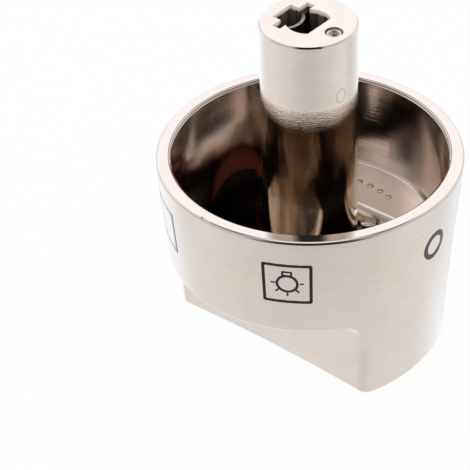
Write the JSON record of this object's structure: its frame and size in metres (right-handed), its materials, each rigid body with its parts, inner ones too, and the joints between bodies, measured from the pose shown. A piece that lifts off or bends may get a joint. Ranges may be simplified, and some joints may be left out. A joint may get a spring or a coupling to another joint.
{
  "type": "oven selector knob",
  "caption": "Cast metal oven selector knob: tapered round skirt, diametral grip bar, and a long stem whose end has a flatted shaft socket with a leaf spring.",
  "frame": {"origin": "on the shaft's axis, at the flat crest of the grip that the knob stands on", "axes": "+Z along the shaft's axis towards the stem's open end; +X along the grip, towards the end that points to the marking and towards the socket's flat"},
  "size_m": [0.042, 0.042, 0.0493],
  "materials": {
    "satin_nickel": "satin nickel plating on a zinc casting",
    "spring_steel": "bright"
  },
  "bodies": {
    "root": {"knob_body": "satin_nickel", "shaft_spring": "spring_steel"}
  },
  "joints": []
}
